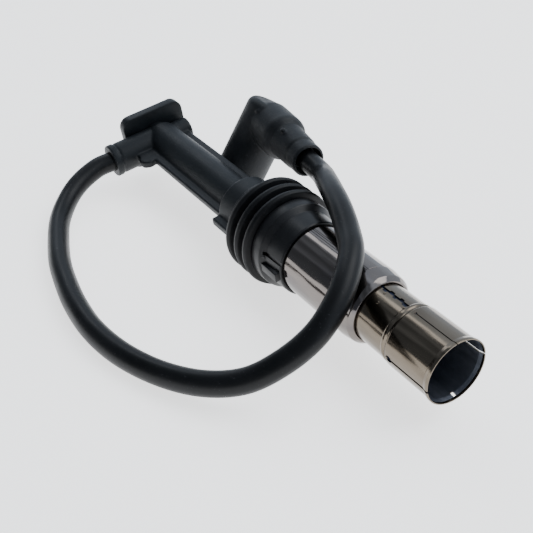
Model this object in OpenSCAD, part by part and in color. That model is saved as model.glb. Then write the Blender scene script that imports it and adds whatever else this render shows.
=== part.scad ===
// Long-reach ignition lead: a metal-shielded spark plug connector with a side cable
// outlet, a short high-tension cable and a right-angle boot for the coil tower.
// The connector lies along X with its mouth at the origin, as it rests on a table.

/* [Metal sleeves] */
// Outer radius of the slotted contact sleeve over the plug hexagon
grip_r = 10; // [9.6:0.1:12]
// Outer radius of the neck of the contact sleeve
neck_r = 9.5; // [9.2:0.1:9.7]
// Wall of the contact sleeve
grip_wall = 0.45; // [0.3:0.05:0.8]
// Length of the wide gripping part of the sleeve
grip_len = 18.7; // [14:0.1:26]
// Length from the mouth to the end of the shield tube
shield_start = 31; // [28:0.5:38]
// Outer radius of the shield tube
shield_r = 11.9; // [11.5:0.1:13]
// Wall of the shield tube
shield_wall = 0.5; // [0.4:0.1:0.8]
// Width of the slots in the gripping part
slot_w = 1.1; // [0.6:0.1:2]

/* [Housing and seal] */
// Distance from the mouth to the face of the lower housing
housing_start = 64; // [60:1:72]
// Length of the lower housing
housing_len = 13.4; // [12:0.2:20]
// Outer radius of the housing nose
housing_r = 12.9; // [12.8:0.1:14.5]
// Outer radius of the housing shoulder
shoulder_r = 15; // [14.5:0.1:16.2]
// Outer radius of the well seal over its ribs
seal_r = 17; // [16:0.1:18.5]
// Length of the well seal
seal_len = 16.4; // [12:0.2:24]
// Number of ribs on the well seal
seal_ribs = 3; // [2:1:4]

/* [Shaft and head] */
// Radius of the shaft
shaft_r = 7; // [6.5:0.1:9]
// Radius of the stout root of the shaft, under the seal
root_r = 10.8; // [10:0.1:12]
// Distance from the mouth to the axis of the cable outlet
outlet_x = 167.5; // [150:0.5:200]
// Distance from the shaft axis to the end of the cable outlet
outlet_reach = 22.5; // [19:0.5:30]
// Outer radius of the cable outlet
outlet_r = 6; // [5.8:0.1:7]
// Half width of the side ribs, from the shaft axis
rib_reach = 10.2; // [9:0.1:12]
// Thickness of the side ribs
rib_t = 3; // [2:0.1:4]
// Width of the grip plate
plate_w = 26; // [22:0.5:32]
// Height of the grip plate
plate_h = 21.6; // [20:0.2:30]
// Thickness of the grip plate
plate_t = 4; // [3:0.2:6]
// Turn of the head about the connector axis as the lead lies
lie_turn = 10; // [0:1:12]

/* [Cable] */
// Radius of the cable jacket
cable_r = 3.8; // [3.5:0.1:4]
// Radius of the conductor core
core_r = 1.1; // [0.8:0.1:1.5]

/* [Coil boot] */
// Outer radius of the boot barrel
barrel_r = 9.5; // [9:0.1:11]
// Length of the barrel below the cable axis
barrel_len = 28; // [24:0.5:34]
// Reach of the cable neck from the barrel axis
neck_reach = 37; // [34:0.5:44]
// Radius of the cavity for the coil tower
tower_r = 6.6; // [6:0.1:7.5]
// Depth of the cavity for the coil tower
tower_depth = 18; // [12:0.5:20]

/* [Hidden] */
$fn = 96;

fit = 0.05;            // running or assembly clearance on a radius
gap = 0.4;             // clearance round a piece that moves
travel = 2;            // how far the sprung socket is pushed in by the plug

// the plug insulator and what it holds, from the mouth inwards
insulator_r = neck_r - grip_wall - fit;
insulator_start = grip_len;
ceramic_r = 5.4;       // hollow for the ceramic of the plug
ceramic_end = 41;
socket_r = 4.2;
socket_bore_r = 3.2;   // plug terminal nut, 6.4 mm across
socket_start = 42;
socket_len = 11;
guide_r = 4.8;
spring_r = 2.7;        // middle of the wire
spring_wire = 0.4;
spring_turns = 5;
resistor_start = 66;
resistor_len = 26;
resistor_r = 3;
cap_t = 0.3;
cap_len = 5;
sleeve_tail = 58;      // the contact sleeve reaches this far inside the shield

// housing, root and shaft along the axis
housing_end = housing_start + housing_len;
gasket_t = 1.2;
spigot_len = 3;        // how far the shaft enters the housing
shield_end = housing_end - spigot_len + 0.3 - gasket_t;
seal_start = housing_end;
seal_end = seal_start + seal_len;
root_end = seal_end + 12.2;
insulator_end = housing_end - spigot_len;
bore_r = resistor_r + cap_t + 0.15;
bore_end = resistor_start + resistor_len + 0.5;
rod_r = 1.4;
plate_start = outlet_x + 4.5;
head_end = plate_start - 2.2;
head_bore_r = 4.2;
boss_r = 4.4;
boss_reach = 12;
rod_seat = 1.2;        // how near the outlet axis the conductor rod comes
spigot_r = 8;

// the coil boot stands on its open end behind the shaft; the table is at the foot of the seal
floor_z = -seal_r;
boot_turn = [-29, 0, -9];
boot_up = [sin(boot_turn[0]) * sin(boot_turn[2]), -sin(boot_turn[0]) * cos(boot_turn[2]), cos(boot_turn[0])];
neck_dir = [cos(boot_turn[2]), sin(boot_turn[2]), 0];
foot_z = floor_z + barrel_r * sin(-boot_turn[0]) + 0.05;
boot_at = [-139.1, 15.6, foot_z] + barrel_len * boot_up;
collar_r = 8.6;
collar_end = 19.5;
neck_r1 = 7.3;
neck_r2 = 5.9;
neck_step = 23;

// route of the free cable, from the outlet, round on the table and over the shield tube
outlet_dir = [0, -cos(lie_turn), -sin(lie_turn)];
outlet_end = [-outlet_x, 0, 0] + outlet_reach * outlet_dir;
neck_end = boot_at + neck_reach * neck_dir;
low = floor_z + cable_r + 0.15;
over = shield_r + cable_r + 0.2;
route = [
    outlet_end, outlet_end + 6.5 * outlet_dir, [-165, -37, low + 5.2], [-160, -44, low + 2.5],
    [-151, -51, low + 0.5], [-139, -56.5, low], [-125, -61.5, low], [-112, -64.5, low],
    [-99, -66.5, low], [-84, -67, low], [-69, -64.5, low], [-54.5, -59, low + 0.6],
    [-42.5, -52, low + 2.6], [-34.5, -43.5, over - 23.4], [-30, -34.5, over - 17.9],
    [-28.5, -25.5, over - 11.9], [-30.5, -17.5, over - 6.4], [-35, -10.5, over - 2.4],
    [-42, -3.5, over - 0.2], [-50, 1.5, over + 0.5], [-61, 7, over + 1.4], [-72, 12, over + 0.8],
    [-82, 17, over - 1.1], neck_end + 9.6 * neck_dir, neck_end
];
cable_sides = 12;
rings_per_step = 3;

// ---- shared shapes ----

// a body of revolution about the connector axis: points are [distance in from the mouth, radius]
module turned(points) {
    rotate([0, -90, 0]) rotate_extrude() polygon([for (p = points) [p[1], p[0]]]);
}

// a plain rod or bore along the connector axis
module rod(from, to, r) {
    translate([-to, 0, 0]) rotate([0, 90, 0]) cylinder(h = to - from, r = r);
}

// turns the moulded head and shaft as the lead lies on the table
module as_it_lies() {
    rotate([lie_turn, 0, 0]) children();
}

// a rod or bore along the outlet, from one distance off the shaft axis to another
module outlet_rod(from, to, r) {
    translate([-outlet_x, -from, 0]) rotate([90, 0, 0]) cylinder(h = to - from, r = r);
}

// a rod or bore along the cable neck of the boot, in the boot's own place
module neck_rod(from, to, r) {
    translate([from, 0, 0]) rotate([0, 90, 0]) cylinder(h = to - from, r = r);
}

module in_boot() {
    translate(boot_at) rotate(boot_turn) children();
}

// ---- metal sleeves ----

module sleeve_slot(angle) {
    rotate([angle, 0, 0]) {
        translate([-grip_len + 3, -slot_w / 2, neck_r - 2]) cube([grip_len, slot_w, 4]);
        translate([-grip_len + 3, 0, neck_r - 2]) cylinder(h = 4, r = slot_w * 0.8, $fn = 24);
    }
}

module contact_sleeve() {
    color([0.78, 0.78, 0.80]) difference() {
        turned([
            [0, grip_r - grip_wall], [0, grip_r + 0.35], [1, grip_r + 0.35], [1.5, grip_r],
            [grip_len - 0.6, grip_r],
            [grip_len, neck_r + 0.15], [grip_len + 0.4, neck_r], [sleeve_tail, neck_r],
            [sleeve_tail, neck_r - grip_wall], [grip_len + 0.4, neck_r - grip_wall],
            [grip_len - 0.6, grip_r - grip_wall]
        ]);
        for (angle = [10, 98.5, 193]) sleeve_slot(angle);
        // a small window just behind the lip of the lowest leaf
        rotate([190, 0, 0]) translate([-2.3, -0.45, grip_r - 2]) cube([1.4, 0.9, 4]);
        // the rolled sleeve doesn't quite close along its seam
        rotate([4, 0, 0]) translate([-sleeve_tail - 1, -0.15, neck_r - 2]) cube([sleeve_tail, 0.3, 4]);
    }
}

module shield_tube() {
    roll_r = neck_r + gap;
    color([0.80, 0.80, 0.82]) union() {
        turned([
            [shield_start, roll_r], [shield_start, roll_r + 0.6], [shield_start + 1.6, shield_r - 0.7],
            [shield_start + 3.2, shield_r - 0.15], [shield_start + 4.8, shield_r], [shield_end, shield_r],
            [shield_end, shield_r - shield_wall], [shield_start + 4.8, shield_r - shield_wall],
            [shield_start + 2.2, shield_r - 1.2], [shield_start + 0.9, roll_r]
        ]);
        // folded lap of the lengthwise seam
        intersection() {
            difference() {
                rod(shield_start + 5.4, housing_start - 0.6, shield_r + 0.15);
                rod(shield_start + 5, housing_start, shield_r - 0.2);
            }
            rotate([11.5, 0, 0]) translate([-housing_start, -1.6, 5]) cube([housing_start, 3.2, 10]);
        }
    }
}

// ---- plug side internals ----

module plug_insulator() {
    color([0.16, 0.18, 0.24]) difference() {
        rod(insulator_start, insulator_end, insulator_r);
        rod(insulator_start - 1, ceramic_end, ceramic_r);
        rod(ceramic_end - 1, insulator_end + 1, guide_r + fit);
    }
}

module terminal_guide() {
    color([0.74, 0.60, 0.28]) difference() {
        rod(ceramic_end, insulator_end, guide_r);
        // the front lip keeps the socket in
        rod(ceramic_end + 0.7, resistor_start - 1.2, socket_r + fit);
        rod(ceramic_end - 1, insulator_end + 1, bore_r + 0.15);
    }
}

module terminal_socket() {
    color([0.82, 0.70, 0.36]) difference() {
        rod(socket_start, socket_start + socket_len, socket_r);
        rod(socket_start - 1, socket_start + socket_len - 2, socket_bore_r);
        // groove for the snap ring
        difference() {
            rod(socket_start + 3.4, socket_start + 4.6, socket_bore_r + 0.6);
            rod(socket_start + 3, socket_start + 5, socket_bore_r - 0.1);
        }
    }
}

module snap_ring() {
    color([0.70, 0.71, 0.74]) difference() {
        rod(socket_start + 3.6, socket_start + 4.4, socket_bore_r + 0.5);
        rod(socket_start + 3, socket_start + 5, socket_bore_r - 0.35);
        // the gap that lets the ring spring open
        rotate([lie_turn, 0, 0]) translate([-socket_start - 5, -0.6, 0]) cube([2, 1.2, 6]);
    }
}

// points round a wire that follows a helix, then the faces that join its rings
function spring_point(k, steps, len, w) =
    let (a = 360 * spring_turns * k / steps, b = 360 * w / 8)
    let (r = spring_r + spring_wire * cos(b))
    [-(socket_start + socket_len) - spring_wire - (len - 2 * spring_wire) * k / steps
        + spring_wire * sin(b), r * cos(a), r * sin(a)];

function tube_faces(rings, sides) = concat(
    [[for (w = [0:sides - 1]) w]],
    [for (k = [0:rings - 2], w = [0:sides - 1])
        let (n = (w + 1) % sides)
        [k * sides + w, (k + 1) * sides + w, (k + 1) * sides + n, k * sides + n]],
    [[for (w = [sides - 1:-1:0]) (rings - 1) * sides + w]]);

module contact_spring() {
    steps = spring_turns * 20;
    len = resistor_start - socket_start - socket_len;
    color([0.66, 0.67, 0.70]) polyhedron(
        points = [for (k = [0:steps], w = [0:7]) spring_point(k, steps, len, w)],
        faces = tube_faces(steps + 1, 8));
}

module resistor_body() {
    color([0.86, 0.84, 0.78])
        rod(resistor_start + cap_t, resistor_start + resistor_len - cap_t, resistor_r);
}

module resistor_cap(from, to, shut) {
    difference() {
        rod(from, to, resistor_r + cap_t);
        rod(from + shut[0], to - shut[1], resistor_r);
    }
}

module resistor_caps() {
    end = resistor_start + resistor_len;
    color([0.75, 0.75, 0.77]) {
        resistor_cap(resistor_start, resistor_start + cap_len, [cap_t, -1]);
        resistor_cap(end - cap_len, end, [-1, cap_t]);
    }
}

// ---- housing and seal ----

module lower_housing() {
    color([0.09, 0.09, 0.10]) difference() {
        union() {
            turned([
                [housing_start, 0], [housing_start, housing_r - 0.6], [housing_start + 0.6, housing_r],
                [housing_end - 5, housing_r + 0.3], [housing_end - 4, shoulder_r],
                [housing_end, shoulder_r], [housing_end, 0]
            ]);
            // two lengthwise ribs, in line with those on the shaft
            as_it_lies() for (side = [-1, 1]) translate([-housing_end, side * (housing_r + 0.2) - 1.3, -1.6])
                cube([housing_len - 1, 2.6, 3.2]);
        }
        rod(housing_start - 1, shield_end + gasket_t, shield_r + fit);
        rod(housing_start - 1, housing_end + 1, spigot_r + fit);
        // witness slot beside the rib
        as_it_lies() rotate([-16, 0, 0]) translate([-housing_end + 4.6, -housing_r - 1.2, -0.8])
            cube([housing_len - 4, 1.55, 1.6]);
    }
}

module housing_gasket() {
    color([0.35, 0.10, 0.08]) difference() {
        rod(shield_end, shield_end + gasket_t, shield_r - 0.1);
        rod(shield_end - 1, shield_end + gasket_t + 1, insulator_r + fit);
    }
}

module well_seal() {
    pitch = (seal_len - 1.4) / seal_ribs;
    web_r = seal_r - 2.4;
    color([0.12, 0.12, 0.13])
        turned(concat(
            [[seal_start, root_r + 0.02], [seal_start, web_r - 0.8]],
            [for (k = [0:seal_ribs - 1], p = [[0.1, web_r], [0.17, seal_r - 0.9], [0.25, seal_r - 0.25],
                    [0.33, seal_r], [0.41, seal_r], [0.5, seal_r - 0.25], [0.58, seal_r - 0.9], [0.72, web_r],
                    [0.98, web_r]])
                [seal_start + (k + p[0]) * pitch, p[1]]],
            [[seal_end, web_r - 0.8], [seal_end, root_r + 0.02]]));
}

// ---- shaft and head ----

// the flat web that runs down both sides of the shaft and out under the outlet
module side_web() {
    translate([0, 0, -rib_t / 2]) linear_extrude(rib_t) {
        polygon([
            [-root_end + 2, rib_reach], [-head_end, rib_reach],
            [-head_end, -rib_reach], [-root_end + 2, -rib_reach]
        ]);
        polygon([
            [-outlet_x + 2, -outlet_reach + 5.5], [-outlet_x + outlet_r + 1, -outlet_reach + 5.5],
            [-outlet_x + outlet_r + 4, -15], [-outlet_x + outlet_r + 7, -14.2],
            [-outlet_x + outlet_r + 8.6, -rib_reach + 0.2], [-outlet_x + outlet_r + 8.6, -4], [-outlet_x + 2, -4]
        ]);
    }
}

module shaft() {
    color([0.08, 0.08, 0.09]) difference() {
        union() {
            turned([
                [insulator_end, 0], [insulator_end, spigot_r], [housing_end, spigot_r],
                [housing_end, root_r], [root_end - 1.2, root_r], [root_end, root_r - 1.5],
                [root_end, shaft_r + 0.8], [root_end + 1.5, shaft_r], [head_end - 1.5, shaft_r],
                [head_end, shaft_r - 1.5], [head_end, 0]
            ]);
            as_it_lies() {
                side_web();
                outlet_rod(0, outlet_reach - 2.5, outlet_r);
                outlet_rod(outlet_reach - 2.5, outlet_reach, outlet_r + 0.25);
                outlet_rod(-boss_reach, 0, boss_r);
                // root ribs, stepped out past the shaft ribs
                for (side = [-1, 1]) translate([-root_end + 1, side * (root_r + 1.2) - 1.6, -rib_t / 2])
                    cube([root_end - seal_end - 1, 3.2, rib_t]);
            }
        }
        rod(housing_end - 5, bore_end, bore_r);
        rod(bore_end - 1, outlet_x - 2, rod_r + fit);
        as_it_lies() {
            outlet_rod(3, outlet_reach + 1, cable_r + fit);
            outlet_rod(outlet_reach - 2.5, outlet_reach + 1, cable_r + 1.2);
            outlet_rod(-3, 4, 2.6);
        }
        // way in for the head ferrule, closed by the grip plate
        rod(outlet_x - 3, outlet_x + outlet_r + 1, head_bore_r);
    }
}

module conductor_rod() {
    color([0.70, 0.52, 0.30]) rod(resistor_start + resistor_len, outlet_x - rod_seat, rod_r);
}

module plate_outline() {
    corner = 4;
    translate([-plate_w / 2 + corner, -plate_h / 2 + corner])
        square([plate_w - 2 * corner, plate_h - 2 * corner]);
    for (x = [-1, 1], y = [-1, 1])
        translate([x * (plate_w / 2 - corner), y * (plate_h / 2 - corner)]) circle(corner, $fn = 48);
    square([plate_w, plate_h - 2 * corner], center = true);
    square([plate_w - 2 * corner, plate_h], center = true);
}

module grip_plate() {
    color([0.10, 0.10, 0.11]) as_it_lies() union() {
        difference() {
            union() {
                translate([-plate_start, 0, 0]) rotate([0, -90, 0]) rotate([0, 0, 90])
                    linear_extrude(plate_t) plate_outline();
                rod(head_end, plate_start + 0.5, shaft_r - 1.5);
            }
            // the back of the outlet and of its boss sit in the plate
            outlet_rod(0, outlet_reach, outlet_r + fit);
            outlet_rod(-boss_reach - 1, 1, boss_r + fit);
        }
        // plug that closes the bore of the head
        rod(outlet_x + 2.8, plate_start + plate_t - 0.5, head_bore_r - 0.3);
    }
}

// ---- cable ----

module outlet_grommet() {
    color([0.14, 0.14, 0.15]) as_it_lies() difference() {
        outlet_rod(outlet_reach - 2.5, outlet_reach, cable_r + 1.2 - fit);
        outlet_rod(outlet_reach - 3, outlet_reach + 1, cable_r + fit);
    }
}

module cable_head_end() {
    color([0.07, 0.07, 0.08]) as_it_lies() difference() {
        outlet_rod(4, outlet_reach, cable_r);
        outlet_rod(3, outlet_reach + 1, core_r);
    }
}

module head_core() {
    color([0.45, 0.30, 0.18]) as_it_lies() outlet_rod(2.4, outlet_reach, core_r);
}

module head_ferrule() {
    color([0.80, 0.68, 0.36]) as_it_lies() difference() {
        union() {
            outlet_rod(-2.4, 3.6, 2.3);
            outlet_rod(3.6, 4, 2.5);
        }
        outlet_rod(2.4, 5, core_r);
        // seat for the end of the conductor rod
        rod(outlet_x - 4, outlet_x - rod_seat, rod_r + fit);
    }
}

// a smooth curve through the route: each stretch leans on its two neighbours
function route_at(k) = route[max(0, min(len(route) - 1, k))];
function curve_point(k, t) =
    let (a = route_at(k - 1), b = route_at(k), c = route_at(k + 1), d = route_at(k + 2))
    0.5 * ((2 * b) + (c - a) * t + (2 * a - 5 * b + 4 * c - d) * t * t + (3 * b - a - 3 * c + d) * t * t * t);

curve = concat(
    [for (k = [0:len(route) - 2], j = [0:rings_per_step - 1]) curve_point(k, j / rings_per_step)],
    [route[len(route) - 1]]);

function unit(v) = v / norm(v);
function curve_dir(k) =
    k == 0 ? outlet_dir
    : k == len(curve) - 1 ? -neck_dir
    : unit(curve[k + 1] - curve[k - 1]);

function ring_point(k, w) =
    let (d = curve_dir(k), side = unit(cross(d, [0, 0, 1])), up = cross(side, d), a = 360 * w / cable_sides)
    curve[k] + cable_r * (cos(a) * side + sin(a) * up);

module cable() {
    color([0.08, 0.08, 0.09]) polyhedron(
        points = [for (k = [0:len(curve) - 1], w = [0:cable_sides - 1]) ring_point(k, w)],
        faces = tube_faces(len(curve), cable_sides));
}

// ---- coil end ----

module coil_boot() {
    color([0.10, 0.10, 0.11]) in_boot() difference() {
        union() {
            translate([0, 0, -barrel_len]) cylinder(h = barrel_len, r = barrel_r);
            sphere(r = barrel_r);
            neck_rod(0, collar_end, collar_r);
            neck_rod(0, neck_step, neck_r1);
            neck_rod(neck_step, neck_reach, neck_r2);
            // two small moulding pips, one on the collar and one on the neck: [along, turn, height]
            for (pip = [[4.7, 67, collar_r + 0.5], [neck_step - 0.4, 58, neck_r1 + 0.5]])
                translate([pip[0], 0, 0]) rotate([pip[1], 0, 0]) translate([0, 0, cable_r + 1])
                    cylinder(h = pip[2] - cable_r - 1, r = 0.9, $fn = 24);
        }
        translate([0, 0, -barrel_len - 1]) cylinder(h = tower_depth + 1, r = tower_r);
        translate([0, 0, -barrel_len]) cylinder(h = barrel_len + 3, r = 3.4);
        neck_rod(0, neck_reach + 1, cable_r + fit);
        sphere(r = cable_r + fit);
    }
}

module cable_coil_end() {
    color([0.07, 0.07, 0.08]) in_boot() difference() {
        neck_rod(6, neck_reach, cable_r);
        neck_rod(5, neck_reach + 1, core_r);
    }
}

module coil_core() {
    color([0.45, 0.30, 0.18]) in_boot() neck_rod(3, neck_reach, core_r);
}

module coil_ferrule() {
    color([0.80, 0.68, 0.36]) in_boot() difference() {
        union() {
            neck_rod(-2.4, 6, 2);
            translate([0, 0, -4]) cylinder(h = 4, r = 1.6);
        }
        neck_rod(3, 7, core_r);
    }
}

module coil_terminal() {
    top = -4;
    foot = -barrel_len + tower_depth + 0.2;
    color([0.80, 0.70, 0.40]) in_boot() difference() {
        translate([0, 0, foot]) cylinder(h = top - foot, r = 3);
        translate([0, 0, foot - 1]) cylinder(h = top - foot - 0.4, r = 2.5);
        for (angle = [0, 90]) rotate([0, 0, angle])
            translate([-4, -0.4, foot - 1]) cube([8, 0.8, 4.4]);
    }
}

contact_sleeve();
shield_tube();
plug_insulator();
terminal_socket();
snap_ring();
contact_spring();
terminal_guide();
resistor_body();
resistor_caps();
lower_housing();
housing_gasket();
well_seal();
shaft();
conductor_rod();
grip_plate();
outlet_grommet();
cable_head_end();
head_core();
head_ferrule();
cable();
cable_coil_end();
coil_core();
coil_boot();
coil_ferrule();
coil_terminal();
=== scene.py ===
"""Ignition lead: shielded plug connector, high-tension cable and coil boot, lying on a pale table.

The connector's axis is X, with its mouth at x = 0 and its head towards -X. Sizes are in mm. An outline counts
its distance in from the mouth, and an angle round the axis starts at +Y and grows towards +Z.
"""

import math

import bpy
from mathutils import Matrix, Vector


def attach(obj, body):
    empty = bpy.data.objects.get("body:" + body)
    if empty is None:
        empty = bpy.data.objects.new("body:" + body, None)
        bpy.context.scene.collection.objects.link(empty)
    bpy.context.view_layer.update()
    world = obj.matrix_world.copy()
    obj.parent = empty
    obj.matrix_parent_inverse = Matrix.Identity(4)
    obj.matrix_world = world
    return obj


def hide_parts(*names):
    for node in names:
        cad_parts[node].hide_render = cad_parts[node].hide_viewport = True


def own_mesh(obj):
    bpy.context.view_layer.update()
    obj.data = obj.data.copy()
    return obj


MM = 0.001

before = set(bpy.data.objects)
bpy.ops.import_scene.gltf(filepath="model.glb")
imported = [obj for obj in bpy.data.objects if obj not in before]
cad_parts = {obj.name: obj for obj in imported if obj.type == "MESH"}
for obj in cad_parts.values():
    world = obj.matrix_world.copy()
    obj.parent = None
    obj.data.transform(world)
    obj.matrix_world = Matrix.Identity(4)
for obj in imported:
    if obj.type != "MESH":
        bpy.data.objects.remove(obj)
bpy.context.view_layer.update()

# ---------------------------------------------------------------- sizes, in mm and degrees

SEAL_R = 17.0
FLOOR_Z = -SEAL_R        # the lead lies on its seal
LIE_TURN = 10.0          # the head's turn about the connector's axis

GRIP_R = 10.0            # contact sleeve where it grips the plug
SLOT_END = 15.9          # how far in its slots reach
NECK_R = 9.5             # and behind its step
SLEEVE_END = 57.6
SEAM_AT = 94.0           # where the rolled neck's seam is, round the axis
SEAM_TEETH = 9

SHIELD_START = 31.0
SHIELD_R = 11.9
SHIELD_WALL = 0.48
SHIELD_END = 73.9

HOUSING_START = 64.0
HOUSING_END = 77.35

SEAL_START = 77.4
SEAL_LIPS = 3
LIP_PITCH = 5.0
SEAL_END = 93.8

ROOT_R = 10.8            # the stout part of the shaft that the seal sits on
ROOT_END = 106.0
SHAFT_R = 7.0
SHAFT_END = 169.8

OUTLET_X = 167.5         # the cable's way out, across the shaft
OUTLET_REACH = 22.5
OUTLET_R = 6.0
BOSS_R = 4.4             # the blind boss opposite
BOSS_REACH = 12.0
PLATE_X = 172.0          # front face of the pull plate
PLATE = (4.0, 26.0, 21.6)
PLATE_CORNER = 4.0

CABLE_R = 3.8
BARREL_R = 9.5           # the boot's barrel over the coil's tower
BARREL_LEN = 28.0        # from its open end to the middle of the neck
BARREL_TOP = 6.9         # and on from there to its closed end
TOWER_R = 6.6            # the tower's bore
TOWER_DEPTH = 18.0
COLLAR_R = 8.6           # the stout start of its neck
COLLAR_LEN = 19.5
NECK_REACH = 37.0
PIP_R = 0.95             # small moulding pips on the collar and the neck
BOOT_LEAN = -29.0        # the barrel's lean about X
BOOT_SWING = -9.0        # and the neck's turn about Z
BOOT_FOOT = (-139.1, 15.6)   # middle of the barrel's open end, over the table

FIT = 0.06               # clearance in radius where a bore is cut round another piece
TABLE_GAP = 0.15         # what the cable's jacket keeps off the table
CROSS_GAP = 0.2          # and off the shield tube
FOOT_GAP = 0.05          # and the boot's rim off the table

FILLET_STEPS = 4         # straight steps in each rounded corner of an outline
FINE = 144               # steps round a bright tube
ROUND = 128              # and round a moulding
MOULD_VOXEL = 0.34
MOULD_ROUNDS = 4         # smoothing passes that leave the fillets
TINY = 0.001


# ---------------------------------------------------------------- small helpers

def rad(*degrees):
    return [math.radians(d) for d in degrees]


def mm(*values):
    return Vector([v * MM for v in values])


def deselect():
    if bpy.context.object and bpy.context.object.mode != "OBJECT":
        bpy.ops.object.mode_set(mode="OBJECT")
    bpy.ops.object.select_all(action="DESELECT")


def only(ob):
    deselect()
    ob.select_set(True)
    bpy.context.view_layer.objects.active = ob


def settle(ob):
    """Moves an object's place into its mesh, so its origin is the frame's."""
    only(ob)
    bpy.ops.object.transform_apply(location=True, rotation=True, scale=True)
    return ob


def edit(ob):
    only(ob)
    bpy.ops.object.mode_set(mode="EDIT")
    bpy.ops.mesh.select_all(action="SELECT")


def leave():
    bpy.ops.object.mode_set(mode="OBJECT")


def rolled(ob, degrees):
    """Turns an object about the connector's axis."""
    ob.rotation_euler = (math.radians(degrees), 0, 0)
    return settle(ob)


def at_angle(ob, angle):
    """Takes an object made straight above the axis to that angle round it."""
    return rolled(ob, angle - 90)


def modified(ob, kind, **settings):
    """Adds one modifier with its settings and applies it."""
    only(ob)
    m = ob.modifiers.new(kind.lower(), kind)
    for key, value in settings.items():
        setattr(m, key, value)
    bpy.ops.object.modifier_apply(modifier=m.name)


def combined(ob, others, operation):
    """Joins other solids to this one, or cuts them out of it, and removes them."""
    for other in others:
        modified(ob, "BOOLEAN", operation=operation, object=other, solver="EXACT")
        bpy.data.objects.remove(other)


def filleted(points):
    """Rounds the corners of an outline: a point is (along, out) or (along, out, radius)."""
    rounded = []
    for i, p in enumerate(points):
        corner = Vector(p[:2])
        if len(p) < 3:
            rounded.append(corner)
            continue
        before = Vector(points[i - 1][:2]) - corner
        after = Vector(points[(i + 1) % len(points)][:2]) - corner
        half = before.angle(after) / 2
        # a fillet takes at most just under half of either side
        back = min(p[2] / math.tan(half), before.length * 0.49, after.length * 0.49)
        before.normalize()
        after.normalize()
        radius = back * math.tan(half)
        middle = corner + (before + after).normalized() * (radius / math.sin(half))
        first, last = corner + before * back - middle, corner + after * back - middle
        for k in range(FILLET_STEPS + 1):
            rounded.append(middle + first.lerp(last, k / FILLET_STEPS).normalized() * radius)
    return rounded


def soften(ob, wanted, radius, segments):
    """Rounds the edges whose two ends pass the test."""
    edit(ob)
    bpy.ops.mesh.select_mode(type="EDGE")
    bpy.ops.mesh.select_all(action="DESELECT")
    leave()
    for e in ob.data.edges:
        e.select = wanted(*(ob.data.vertices[i].co for i in e.vertices))
    bpy.ops.object.mode_set(mode="EDIT")
    bpy.ops.mesh.bevel(offset=radius * MM, segments=segments, affect="EDGES")
    bpy.ops.mesh.select_mode(type="VERT")
    leave()


def turned(points, steps=96, angle=360.0, start=90.0):
    """Spins an outline round the axis, from that angle on; one that starts on the axis stays open."""
    outline = filleted(points)
    if points[0][1] > 0:
        outline.append(outline[0])
    deselect()
    # a plane drawn in to one point, which is then drawn out along the outline
    bpy.ops.mesh.primitive_plane_add(size=0.1 * MM, location=mm(-outline[0][0], 0, outline[0][1]))
    ob = bpy.context.object
    edit(ob)
    bpy.ops.mesh.merge(type="CENTER")
    for a, b in zip(outline, outline[1:]):
        step = mm(a[0] - b[0], 0, b[1] - a[1])
        bpy.ops.mesh.extrude_vertices_move(TRANSFORM_OT_translate={"value": step})
    bpy.ops.mesh.select_all(action="SELECT")
    bpy.ops.mesh.remove_doubles(threshold=TINY * MM)
    if angle < 360.0:
        bpy.ops.mesh.edge_face_add()
    bpy.ops.mesh.spin(steps=steps, angle=math.radians(angle), center=(0, 0, 0), axis=(1, 0, 0))
    bpy.ops.mesh.select_all(action="SELECT")
    bpy.ops.mesh.remove_doubles(threshold=TINY * MM)
    bpy.ops.mesh.normals_make_consistent(inside=False)
    leave()
    settle(ob)
    return at_angle(ob, start)


def bar(size, centre, soft=0.0, turn=(0, 0, 0)):
    """A bar of that size, with its edges rounded."""
    deselect()
    bpy.ops.mesh.primitive_cube_add(size=1, location=mm(*centre), rotation=rad(*turn))
    ob = bpy.context.object
    ob.scale = mm(*size)
    settle(ob)
    if soft:
        edit(ob)
        bpy.ops.mesh.bevel(offset=soft * MM, segments=3, affect="EDGES")
        leave()
    return ob


def post(radius, low, high, at=(0, 0, 0), turn=(0, 0, 0), soft=0.0, sides=64, top=None):
    """A round post along its own Z from low to high, with rounded ends, then turned and placed."""
    deselect()
    bpy.ops.mesh.primitive_cone_add(
        vertices=sides, radius1=radius * MM, radius2=(radius if top is None else top) * MM,
        depth=(high - low) * MM, location=mm(0, 0, (low + high) / 2))
    ob = bpy.context.object
    settle(ob)
    if soft:
        soften(ob, lambda a, b: abs(a.z - b.z) < TINY * MM, soft, 5)
    ob.rotation_euler = rad(*turn)
    ob.location = mm(*at)
    return settle(ob)


def moulded(ob, parts):
    """Melts overlapping solids into one skin with soft fillets, as a mould leaves them."""
    only(ob)
    for part in parts:
        part.select_set(True)
    bpy.ops.object.join()
    modified(ob, "REMESH", mode="VOXEL", voxel_size=MOULD_VOXEL * MM, adaptivity=0.0)
    modified(ob, "SMOOTH", factor=0.5, iterations=MOULD_ROUNDS)


def piece(ob, name, finish, node, angle=35.0):
    """Names a finished piece, gives it its finish, hangs it on the lead and hides the CAD node it stands for.
    """
    only(ob)
    bpy.ops.object.shade_smooth_by_angle(angle=math.radians(angle))
    ob.name = name
    ob.data.name = name
    ob.data.materials.clear()
    ob.data.materials.append(finish)
    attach(ob, "lead")
    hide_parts(node)
    return ob


# ---------------------------------------------------------------- camera

def place_camera(at, right, forward):
    data = bpy.data.cameras.new("camera")
    data.sensor_width = 36.0
    data.lens = 58.84
    data.clip_start = 0.01
    camera = bpy.data.objects.new("camera", data)
    bpy.context.scene.collection.objects.link(camera)
    bpy.context.scene.camera = camera
    right.normalize()
    forward.normalize()
    up = right.cross(forward).normalized()
    right = forward.cross(up).normalized()
    turn = Matrix((right, up, -forward)).transposed().to_4x4()
    camera.matrix_world = Matrix.Translation(at) @ turn


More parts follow.
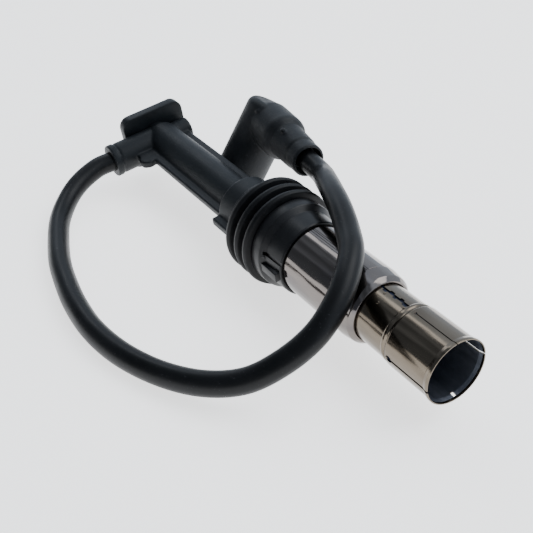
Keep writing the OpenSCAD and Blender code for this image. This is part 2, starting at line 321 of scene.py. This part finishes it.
place_camera(mm(119.0, -136.1, 149.6), Vector((0.543, 0.840, 0.0)), Vector((-0.698, 0.451, -0.556)))


# ---------------------------------------------------------------- the cable

LOW = FLOOR_Z + CABLE_R + TABLE_GAP      # middle of the cable where it lies on the table
OVER = SHIELD_R + CABLE_R + CROSS_GAP    # and where it crosses over the shield tube

boot_turn = (Matrix.Rotation(math.radians(BOOT_SWING), 3, "Z")
             @ Matrix.Rotation(math.radians(BOOT_LEAN), 3, "X"))
boot_foot_z = FLOOR_Z + BARREL_R * math.sin(math.radians(-BOOT_LEAN)) + FOOT_GAP
boot_at = Vector((*BOOT_FOOT, boot_foot_z)) + boot_turn @ Vector((0, 0, BARREL_LEN))
neck_dir = boot_turn @ Vector((1, 0, 0))
neck_end = boot_at + NECK_REACH * neck_dir
outlet_dir = Vector((0, -math.cos(math.radians(LIE_TURN)), -math.sin(math.radians(LIE_TURN))))
outlet_end = Vector((-OUTLET_X, 0, 0)) + OUTLET_REACH * outlet_dir

# out of the outlet, round on the table, up over the shield tube and into the boot's neck
ROUTE = [Vector(p) for p in (
    outlet_end, outlet_end + 6.5 * outlet_dir, (-165, -37, LOW + 5.2), (-160, -44, LOW + 2.5),
    (-151, -51, LOW + 0.5), (-139, -56.5, LOW), (-125, -61.5, LOW), (-112, -64.5, LOW),
    (-99, -66.5, LOW), (-84, -67, LOW), (-69, -64.5, LOW), (-54.5, -59, LOW + 0.6),
    (-42.5, -52, LOW + 2.6), (-34.5, -43.5, OVER - 23.4), (-30, -34.5, OVER - 17.9),
    (-28.5, -25.5, OVER - 11.9), (-30.5, -17.5, OVER - 6.4), (-35, -10.5, OVER - 2.4),
    (-42, -3.5, OVER - 0.2), (-50, 1.5, OVER + 0.5), (-61, 7, OVER + 1.4), (-72, 12, OVER + 0.8),
    (-82, 17, OVER - 1.1), neck_end + 9.6 * neck_dir, neck_end,
)]
SPAN_STEPS = 12          # straight steps between two points of the route


def lean(i):
    """How far a point's handles reach: along the line through its two neighbours."""
    return (ROUTE[min(i + 1, len(ROUTE) - 1)] - ROUTE[max(i - 1, 0)]) / 6


def cable_curve():
    """One open curve through the route."""
    data = bpy.data.curves.new("cable_run", "CURVE")
    data.dimensions = "3D"
    data.bevel_depth = CABLE_R * MM
    data.bevel_resolution = 8
    data.resolution_u = SPAN_STEPS
    data.use_fill_caps = True
    spline = data.splines.new("BEZIER")
    spline.bezier_points.add(len(ROUTE) - 1)
    for i, place in enumerate(ROUTE):
        point = spline.bezier_points[i]
        point.handle_left_type = point.handle_right_type = "FREE"
        point.co = place * MM
        point.handle_left = (place - lean(i)) * MM
        point.handle_right = (place + lean(i)) * MM
    ob = bpy.data.objects.new("cable_run", data)
    bpy.context.scene.collection.objects.link(ob)
    return ob


def cable_length():
    length, last = 0.0, ROUTE[0]
    for i, (a, b) in enumerate(zip(ROUTE, ROUTE[1:])):
        leaving, arriving = a + lean(i), b - lean(i + 1)
        for k in range(1, SPAN_STEPS + 1):
            t = k / SPAN_STEPS
            u = 1 - t
            p = a * u ** 3 + 3 * leaving * t * u ** 2 + 3 * arriving * t * t * u + b * t ** 3
            length += (p - last).length
            last = p
    return length * MM


cable = cable_curve()


# ---------------------------------------------------------------- finishes

COLOUR_A, COLOUR_B, COLOUR_OUT = 6, 7, 2     # the mix node's colour sockets, whose names repeat


def hexed(code):
    """An sRGB hex colour as the linear colour the shader wants."""
    def linear(v):
        return v / 12.92 if v <= 0.04045 else ((v + 0.055) / 1.055) ** 2.4
    return tuple(linear(int(code[i:i + 2], 16) / 255) for i in (1, 3, 5)) + (1.0,)


def add(tree, kind, settings=None, inputs=None, links=None):
    """Adds one node: its settings, the values on its sockets, and what feeds each socket."""
    made = tree.nodes.new(kind)
    for key, value in (settings or {}).items():
        setattr(made, key, value)
    for key, value in (inputs or {}).items():
        made.inputs[key].default_value = value
    for key, source in (links or {}).items():
        tree.links.new(source, made.inputs[key])
    return made


def blank(name):
    """A new material, its tree, and its only node's output: the place on the object."""
    made = bpy.data.materials.new(name)
    made.use_nodes = True
    made.node_tree.nodes.clear()
    return made, made.node_tree, add(made.node_tree, "ShaderNodeTexCoord").outputs["Object"]


def noise(tree, place, scale=1.0, detail=2.0, roughness=0.5):
    return add(tree, "ShaderNodeTexNoise", None, {"Scale": scale, "Detail": detail, "Roughness": roughness},
               {"Vector": place}).outputs["Fac"]


def stretched(tree, place, along_mm, across_mm):
    """The place, scaled so that a pattern is that long along the connector and that wide across it."""
    scale = (1 / (along_mm * MM), 1 / (across_mm * MM), 1 / (across_mm * MM))
    return add(tree, "ShaderNodeMapping", None, {"Scale": scale}, {"Vector": place}).outputs["Vector"]


def spread(tree, value, low, high, to_low=0.0, to_high=1.0):
    """Takes values from low to high onto another range, and holds them there beyond it."""
    return add(tree, "ShaderNodeMapRange", None,
               {"From Min": low, "From Max": high, "To Min": to_low, "To Max": to_high},
               {"Value": value}).outputs["Result"]


def mixed(tree, factor, first, second):
    """Mixes two colours: the first is a hex code or another node's output, the second a hex code."""
    made = add(tree, "ShaderNodeMix", {"data_type": "RGBA"}, {COLOUR_B: hexed(second)}, {"Factor": factor})
    if isinstance(first, str):
        made.inputs[COLOUR_A].default_value = hexed(first)
    else:
        tree.links.new(first, made.inputs[COLOUR_A])
    return made.outputs[COLOUR_OUT]


def bumped(tree, height, strength, depth_mm, **under):
    """A bump that deep, over another one if its normal is given."""
    return add(tree, "ShaderNodeBump", None, {"Strength": strength, "Distance": depth_mm * MM},
               {"Height": height, **under}).outputs["Normal"]


def shaded(tree, constants, colour, roughness, normal):
    """The shader with its constants and what feeds it, on the material's output."""
    shader = add(tree, "ShaderNodeBsdfPrincipled", None, constants,
                 {"Base Color": colour, "Roughness": roughness, "Normal": normal})
    add(tree, "ShaderNodeOutputMaterial", None, None, {"Surface": shader.outputs["BSDF"]})


DUST = "#55565a"
DUST_MM = 0.9


def moulding(name, deep, pale, rough, grain_mm, grain_depth, blotch_mm, dust=0.0, ior=1.5, shine=0.3):
    """Black plastic or rubber: two near-black tones in slow blotches, a fine grain, and pale dust."""
    made, tree, place = blank(name)
    blotch = noise(tree, place, 1 / (blotch_mm * MM), 4.0, 0.6)
    grain = noise(tree, place, 1 / (grain_mm * MM), 5.0, 0.65)
    speck = noise(tree, place, 1 / (DUST_MM * MM))
    tone = mixed(tree, spread(tree, blotch, 0.35, 0.68), deep, pale)
    colour = mixed(tree, spread(tree, speck, 0.66, 0.78, 0.0, dust), tone, DUST)
    shaded(tree, {"IOR": ior, "Specular IOR Level": shine}, colour,
           spread(tree, blotch, 0.3, 0.7, *rough), bumped(tree, grain, 0.6, grain_depth))
    return made


def bright_sheet(name, tone, dull, rough, streak_mm, length_mm, wave):
    """Rolled and plated sheet: long hairlines along the tube, a slow waviness and a few dull patches."""
    made, tree, place = blank(name)
    hairline = noise(tree, stretched(tree, place, length_mm, streak_mm), detail=3.0, roughness=0.7)
    dent = noise(tree, stretched(tree, place, 22.0, 5.5))
    colour = mixed(tree, spread(tree, dent, 0.45, 0.75), tone, dull)
    ripple = bumped(tree, dent, 0.5, wave)
    shaded(tree, {"Metallic": 1.0}, colour, spread(tree, hairline, 0.3, 0.75, *rough),
           bumped(tree, hairline, 0.25, 0.01, Normal=ripple))
    return made


def turned_metal(name, tone, dull, rough, grain_mm):
    """Turned or drawn metal of a hidden contact: fine rings, and a slow tarnish."""
    made, tree, place = blank(name)
    tarnish = noise(tree, place, 1 / (2.5 * MM), 4.0)
    rings = add(tree, "ShaderNodeTexWave", {"wave_type": "BANDS", "bands_direction": "X"},
                {"Scale": 1 / (grain_mm * MM), "Distortion": 1.5, "Detail": 2.0}, {"Vector": place})
    shaded(tree, {"Metallic": 1.0}, mixed(tree, tarnish, tone, dull), spread(tree, tarnish, 0.0, 1.0, *rough),
           bumped(tree, rings.outputs["Fac"], 0.3, 0.02))
    return made


# nickel-plated spring steel: warm grey, drawn lengthwise, so hairlines run along the tube
NICKEL = bright_sheet("nickel_plated_spring_steel", "#70675b", "#5d554b", rough=(0.1, 0.24),
                      streak_mm=0.35, length_mm=30.0, wave=0.45)
# tinned steel sheet: a little cooler and smoother than the sleeve, rolled round and folded
TINPLATE = bright_sheet("tinned_steel_sheet", "#736d69", "#615d5e", rough=(0.07, 0.18),
                        streak_mm=0.4, length_mm=40.0, wave=0.45)
# the inside of the sleeve was never polished, so it is rough and dull; its blue-grey tone is painted shade,
# standing in for the blue-grey shade seen inside the mouth
SLEEVE_BORE_PAINTED_SHADE = bright_sheet("unpolished_sleeve_bore_painted_shade", "#6b6f78", "#484c55", rough=(0.48, 0.62),
                           streak_mm=0.5, length_mm=12.0, wave=0.1)
# glass-filled polyester moulding: near-black with a cool cast, satin, very fine grain
SHAFT_PLASTIC = moulding("black_polyester_moulding", "#0b0f12", "#13181c", rough=(0.42, 0.54),
                         grain_mm=0.4, grain_depth=0.05, blotch_mm=12.0, dust=0.15, shine=0.27)
# the housing comes from a smoother mould, so it is a touch glossier
HOUSING_PLASTIC = moulding("black_nylon_moulding", "#0b0c0e", "#131416", rough=(0.3, 0.42),
                           grain_mm=0.5, grain_depth=0.012, blotch_mm=10.0, dust=0.1)
# nitrile rubber seal: soft sheen, slight bloom on its flats
SEAL_RUBBER = moulding("black_nitrile_rubber", "#08090b", "#0f1012", rough=(0.4, 0.55),
                       grain_mm=0.6, grain_depth=0.03, blotch_mm=6.0, dust=0.15, shine=0.2)
# silicone rubber boot: matt and grey-bloomed where it has been handled
BOOT_RUBBER = moulding("black_silicone_boot", "#0d1012", "#171a1e", rough=(0.45, 0.6),
                       grain_mm=0.8, grain_depth=0.12, blotch_mm=7.0, dust=0.25)
# extruded silicone jacket: smooth, tight highlights, faint handling marks
CABLE_RUBBER = moulding("black_silicone_jacket", "#0a0b0c", "#111214", rough=(0.32, 0.44),
                        grain_mm=0.8, grain_depth=0.02, blotch_mm=14.0, dust=0.2, shine=0.2)
# phenolic insulator inside the mouth: blue-black
INSULATOR = moulding("blue_black_phenolic", "#10182a", "#1b2740", rough=(0.34, 0.46),
                     grain_mm=0.4, grain_depth=0.02, blotch_mm=5.0, dust=0.1)
# red silicone gasket: matt
GASKET = moulding("dark_red_silicone", "#4a1512", "#5e1f1a", rough=(0.45, 0.6),
                  grain_mm=0.5, grain_depth=0.02, blotch_mm=4.0, dust=0.2)
# glazed ceramic of the resistor: cream, clean and glossy
CERAMIC = moulding("glazed_alumina", "#cfc8b8", "#ddd7c9", rough=(0.2, 0.3),
                   grain_mm=0.5, grain_depth=0.008, blotch_mm=4.0, ior=1.6, shine=0.5)
# contacts turned from brass, with darker tarnish
BRASS = turned_metal("turned_brass", "#c9a75a", "#a08043", rough=(0.2, 0.38), grain_mm=0.6)
# copper conductors: dull and brown with oxide
COPPER = turned_metal("dull_copper", "#b0714a", "#8a5a40", rough=(0.3, 0.5), grain_mm=0.8)
# springs and pressed caps: plain drawn steel
SPRING = turned_metal("drawn_spring_steel", "#b9bcc0", "#94979b", rough=(0.22, 0.36), grain_mm=0.9)


# ---------------------------------------------------------------- metal sleeves

def slot_cutters(angle, width, hole_r):
    """What cuts a lengthwise slot with a round end at that angle."""
    cut = bar((SLOT_END + 3, width, 4), (-(SLOT_END - 3) / 2, 0, GRIP_R))
    hole = post(hole_r, GRIP_R - 2.2, GRIP_R + 2, at=(-SLOT_END, 0, 0), sides=32)
    return [at_angle(cut, angle), at_angle(hole, angle)]


def contact_sleeve():
    ob = turned([
        (0, 9.92, 0.1), (0, 10.3, 0.14), (0.8, 10.33, 0.3), (1.9, 9.98, 0.8), (17.3, GRIP_R, 0.5),
        (18.0, 9.5, 0.25), (18.45, 9.4, 0.15), (18.8, 9.68, 0.3), (19.5, 9.68, 0.3), (19.9, NECK_R, 0.2),
        (SLEEVE_END, NECK_R, 0.1), (SLEEVE_END, 9.12, 0.1), (18.6, 9.12, 0.3), (17.2, 9.6, 0.4),
        (1.9, 9.6, 0.6), (0.8, 9.9, 0.3),
    ], steps=FINE)
    cutters = []
    for angle, width, hole_r in ((98.5, 0.32, 0.42), (193, 0.8, 1.15), (10, 0.65, 0.8)):
        cutters += slot_cutters(angle, width, hole_r)
    # a small window just behind the lip of the lowest leaf
    cutters.append(at_angle(bar((1.4, 0.9, 4), (-1.6, 0, GRIP_R)), 280))
    # the open seam of the rolled neck, with its ragged interlocking edge
    cutters.append(at_angle(bar((38, 0.8, 3), (-38.6, 0, NECK_R)), SEAM_AT))
    for k in range(SEAM_TEETH):
        side = 1 if k % 2 else -1
        tooth = bar((1.7 - 0.25 * (k % 3), 1.0, 3), (-20.9 - 2.05 * k, side * 0.4, NECK_R))
        cutters.append(at_angle(tooth, SEAM_AT))
    combined(ob, cutters, "DIFFERENCE")
    # a pressed dimple that locks on the hexagon, and rivet-like tabs beside the seam
    studs = []
    for x, angle, r in ((27.2, 123, 0.5), (28.3, SEAM_AT + 8.5, 0.4), (20.2, SEAM_AT + 8.5, 0.42),
                        (15.6, SEAM_AT + 6, 0.4)):
        dot = post(r, NECK_R - 0.25, NECK_R + 0.22, at=(-x, 0, 0), sides=24, soft=0.12)
        studs.append(at_angle(dot, angle))
    combined(ob, studs, "UNION")
    piece(ob, "plug_sleeve", NICKEL, "contact_sleeve", angle=28.0)
    # the faces that look at the axis, behind the lip, take the bore's rough, dull finish, whose blue-grey
    # tone is painted shade
    ob.data.materials.append(SLEEVE_BORE_PAINTED_SHADE)
    for face in ob.data.polygons:
        outward = Vector((0, face.center.y, face.center.z)).normalized()
        if face.normal.dot(outward) < -0.5 and face.center.x < -0.6 * MM:
            face.material_index = 1
    return ob


def shield_tube():
    bore_r = SHIELD_R - SHIELD_WALL
    ob = turned([
        (SHIELD_START, 9.66, 0.1), (SHIELD_START, 10.2, 0.4), (32.4, 11.3, 1.4), (36.6, 11.88, 3.5),
        (SHIELD_END, SHIELD_R), (SHIELD_END, bore_r), (36.8, bore_r, 2.0), (33.0, 10.8, 0.8),
        (31.7, 10.0, 0.3), (31.5, 9.66, 0.1),
    ], steps=FINE)
    # folded lap of the seam: a raised strip with three pressed lines in it
    lap = turned([
        (36.9, 11.7), (36.9, 12.0, 0.1), (63.6, 12.0), (63.6, 11.7),
    ], steps=10, angle=15.0, start=SEAM_AT)
    combined(ob, [lap], "UNION")
    lines = [at_angle(bar((26.8, 0.26, 0.7), (-50.4, 0, 12.1)), angle) for angle in (97, 101, 105)]
    combined(ob, lines, "DIFFERENCE")
    return piece(ob, "shield_sleeve", TINPLATE, "shield_tube", angle=28.0)


# ---------------------------------------------------------------- housing and seal

def lower_housing():
    seat_r = SHIELD_R + 0.07
    ob = turned([
        (HOUSING_START, seat_r, 0.1), (HOUSING_START, 12.6, 0.2), (64.5, 12.88, 0.25), (71.6, 13.2, 0.5),
        (73.2, 14.9, 0.9), (HOUSING_END, 14.98, 0.35), (HOUSING_END, 8.1), (74.75, 8.1), (74.75, seat_r),
    ], steps=ROUND)
    # a rib on each side, and a small stud above the one on the cable's side
    parts = [bar((12.6, 2.6, 3.2), (-70.9, side * 13.1, 0), 0.3) for side in (-1, 1)]
    parts.append(bar((1.6, 1.3, 1.5), (-72.6, -12.85, 3.4), 0.45, (16, 0, 25)))
    for part in parts:
        rolled(part, LIE_TURN)
    # a witness groove above them
    notch = at_angle(bar((9.4, 1.3, 1.6), (-68.1, 0, 13.3), 0.2), 169.5)
    combined(ob, [notch], "DIFFERENCE")
    combined(ob, parts, "UNION")
    return piece(ob, "housing", HOUSING_PLASTIC, "lower_housing", angle=30.0)


def well_seal():
    bore_r = ROOT_R + 0.03
    outline = [(SEAL_START, bore_r), (SEAL_START, 13.7, 0.3)]
    for k in range(SEAL_LIPS):
        x = SEAL_START + LIP_PITCH * k
        outline += [(x + 0.35, 14.3, 0.3), (x + 0.75, 16.6, 0.5), (x + 1.7, SEAL_R, 0.6),
                    (x + 2.9, 16.75, 0.7), (x + 3.4, 14.5, 0.6)]
    outline += [(SEAL_END - 0.1, 14.3, 0.6), (SEAL_END, 13.2, 0.4), (SEAL_END, bore_r)]
    ob = turned(outline, steps=ROUND)
    return piece(ob, "seal", SEAL_RUBBER, "well_seal", angle=50.0)


# ---------------------------------------------------------------- shaft and head

def across(radius, low, high, soft=0.0):
    """A round post along the cable outlet, from one distance off the shaft's axis to another."""
    return post(radius, low, high, at=(-OUTLET_X, 0, 0), turn=(90, 0, 0), soft=soft)


def shaft():
    skin_r = ROOT_R - 0.1      # a little inside the seal
    ob = turned([
        (SEAL_START, 0), (SEAL_START, skin_r), (ROOT_END - 1.1, skin_r, 0.6), (ROOT_END, 9.3, 0.5),
        (ROOT_END + 0.4, SHAFT_R + 0.7, 0.4), (ROOT_END + 1.6, SHAFT_R, 1.0), (168.2, SHAFT_R, 2.5),
        (SHAFT_END, 5.2, 1.5), (SHAFT_END, 0),
    ])
    parts = []
    # a long and a short rib on each side
    for side in (-1, 1):
        parts.append(bar((64, 3.4, 2.6), (-136.6, side * 8.4, 0), 0.5))
        parts.append(bar((11.2, 3.6, 3.0), (-99.4, side * 11.8, 0), 0.5))
    # the outlet with a groove behind its flange, and the boss opposite
    parts.append(across(OUTLET_R, 0, 19.3, 0.4))
    parts.append(across(OUTLET_R - 0.35, 0, OUTLET_REACH))
    parts.append(across(OUTLET_R + 0.25, 19.9, OUTLET_REACH, 0.4))
    parts.append(across(BOSS_R, -BOSS_REACH, 0, 0.8))
    # web under the outlet with its rounded lobe
    parts.append(bar((9, 9, 2.8), (-161, -9.5, 0), 0.6))
    parts.append(post(3.2, -1.4, 1.4, at=(-156.8, -11.8, 0), soft=0.5))
    for part in parts:
        rolled(part, LIE_TURN)
    moulded(ob, parts)
    cutters = [across(CABLE_R + FIT, 3, 26), across(5.0, OUTLET_REACH - 2.5, 26)]
    for cutter in cutters:
        rolled(cutter, LIE_TURN)
    combined(ob, cutters, "DIFFERENCE")
    return piece(ob, "stem", SHAFT_PLASTIC, "shaft", angle=45.0)


def grip_plate():
    ob = bar(PLATE, (-PLATE_X - PLATE[0] / 2, 0, 0))
    soften(ob, lambda a, b: abs(a.x - b.x) > PLATE[0] / 2 * MM, PLATE_CORNER, 10)
    modified(ob, "BEVEL", width=0.4 * MM, segments=3, limit_method="ANGLE", angle_limit=math.radians(50))
    neck = post(5.4, 0, 3.0, at=(-169.6, 0, 0), turn=(0, -90, 0))
    combined(ob, [neck], "UNION")
    combined(ob, [across(OUTLET_R + FIT, 0, 24), across(BOSS_R + FIT, -17, 1)], "DIFFERENCE")
    rolled(ob, LIE_TURN)
    return piece(ob, "pull_plate", SHAFT_PLASTIC, "grip_plate")


# ---------------------------------------------------------------- coil boot

def along_neck(radius, low, high, **more):
    """A round post along the boot's neck, from one distance off the barrel's axis to another."""
    return post(radius, low, high, turn=(0, 90, 0), **more)


def coil_boot():
    ob = post(BARREL_R, -BARREL_LEN, BARREL_TOP, sides=96)
    soften(ob, lambda a, b: a.z > 0 and b.z > 0, 3.0, 7)
    moulded(ob, [
        along_neck(COLLAR_R, 0, COLLAR_LEN, soft=3.6),
        along_neck(7.7, 0, 31.0, soft=0.8, top=6.3),
        along_neck(6.0, 20, NECK_REACH - 0.1, soft=0.7),
        # the rolled rim round the open end
        post(BARREL_R + 0.35, -BARREL_LEN, -BARREL_LEN + 2.2, soft=0.6),
        # a pip on the collar and one on the neck
        post(PIP_R, 5.0, COLLAR_R + 0.7, at=(4.7, 0, 0), turn=(67, 0, 0), soft=0.3, sides=32),
        post(PIP_R, 5.0, 8.1, at=(23.0, 0, 0), turn=(58, 0, 0), soft=0.3, sides=32),
    ])
    combined(ob, [
        post(TOWER_R, -BARREL_LEN - 2, TOWER_DEPTH - BARREL_LEN),
        # the way on for the terminal and the cable, up to the neck and out along it
        post(3.4, -BARREL_LEN, 3),
        along_neck(CABLE_R + FIT, 1, NECK_REACH + 3),
        along_neck(CABLE_R + 0.3, NECK_REACH - 4.0, NECK_REACH + 1.0, top=5.5),
    ], "DIFFERENCE")
    ob.matrix_world = Matrix.Translation(boot_at * MM) @ boot_turn.to_4x4()
    settle(ob)
    return piece(ob, "tower_boot", BOOT_RUBBER, "coil_boot", angle=45.0)


contact_sleeve()
shield_tube()
lower_housing()
well_seal()
shaft()
grip_plate()
boot = coil_boot()

# ---------------------------------------------------------------- the cable's facts

cable.data.materials.append(CABLE_RUBBER)
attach(cable, "lead")
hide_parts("cable")
round(cable_length(), 4)

# ---------------------------------------------------------------- carried-over nodes

for node, finish in {
    "plug_insulator": INSULATOR, "terminal_socket": BRASS, "snap_ring": SPRING, "contact_spring": SPRING,
    "terminal_guide": BRASS, "resistor_body": CERAMIC, "resistor_caps": SPRING, "housing_gasket": GASKET,
    "conductor_rod": COPPER, "outlet_grommet": SEAL_RUBBER, "cable_head_end": CABLE_RUBBER,
    "head_core": COPPER, "head_ferrule": BRASS, "cable_coil_end": CABLE_RUBBER, "coil_core": COPPER,
    "coil_ferrule": BRASS, "coil_terminal": BRASS,
}.items():
    for s in bpy.data.objects[node].material_slots:
        s.material = finish

# the spring, which gives way by the contact's whole travel towards its seat on the resistor's cap, gets a
# mesh of its own
spring = bpy.data.objects["contact_spring"]
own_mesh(spring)

# ---------------------------------------------------------------- table and light

LIT = Vector((-0.09, -0.02, 0))     # what the lamps look at, in metres
# the room's brightness from its near wall (0) to its far wall (1): the near half is dark with a few paler
# uprights in it, the far half is pale
ROOM = [(0.0, 0.2), (0.145, 0.19), (0.185, 0.14), (0.225, 0.36), (0.275, 0.22), (0.33, 0.15), (0.39, 0.38),
        (0.45, 0.22), (0.5, 0.85), (0.56, 1.2), (0.675, 0.95), (1.0, 1.05)]
ROOM_TINT = (0.88, 1.0, 1.17)


def pale_table():
    """A pale table with a little light of its own, which keeps it pale under a dim room."""
    deselect()
    bpy.ops.mesh.primitive_plane_add(size=4.0, location=(-0.08, 0, FLOOR_Z * MM))
    ob = bpy.context.object
    ob.name = ob.data.name = "table_top"
    made = bpy.data.materials.new("pale_table")
    made.use_nodes = True
    made.node_tree.nodes.clear()
    shader = add(made.node_tree, "ShaderNodeBsdfPrincipled", None, {
        "Base Color": hexed("#f4f3f1"), "Roughness": 0.8,
        "Emission Color": hexed("#ffffff"), "Emission Strength": 1.6})
    add(made.node_tree, "ShaderNodeOutputMaterial", None, None, {"Surface": shader.outputs["BSDF"]})
    ob.data.materials.append(made)
    return ob


def softbox(name, size, energy, at):
    """A rectangular lamp: its size and place in metres, its energy in watts."""
    data = bpy.data.lights.new(name, "AREA")
    data.shape = "RECTANGLE"
    data.size, data.size_y = size
    data.energy = energy
    ob = bpy.data.objects.new(name, data)
    bpy.context.scene.collection.objects.link(ob)
    ob.location = at
    ob.rotation_euler = (LIT - Vector(at)).to_track_quat("-Z", "Y").to_euler()


def room_light():
    world = bpy.data.worlds.new("room")
    bpy.context.scene.world = world
    world.use_nodes = True
    tree = world.node_tree
    tree.nodes.clear()
    direction = add(tree, "ShaderNodeTexCoord").outputs["Generated"]
    split = add(tree, "ShaderNodeSeparateXYZ", None, None, {"Vector": direction})
    ramp = add(tree, "ShaderNodeValToRGB", None, None, {"Fac": spread(tree, split.outputs["Y"], -1.0, 1.0)})
    stops = ramp.color_ramp.elements
    for place, _ in ROOM[1:-1]:
        stops.new(place)
    for stop, (place, grey) in zip(stops, ROOM):
        stop.position = place
        stop.color = [grey * tint for tint in ROOM_TINT] + [1.0]
    sky = add(tree, "ShaderNodeBackground", None, {"Strength": 1.0}, {"Color": ramp.outputs["Color"]})
    add(tree, "ShaderNodeOutputWorld", None, None, {"Surface": sky.outputs["Background"]})


table_top = pale_table()
softbox("strip", (0.14, 0.7), 0.55, (-0.75, 0.07, 0.75))
softbox("key", (0.9, 0.6), 5.0, (0.1, 0.55, 0.85))
room_light()
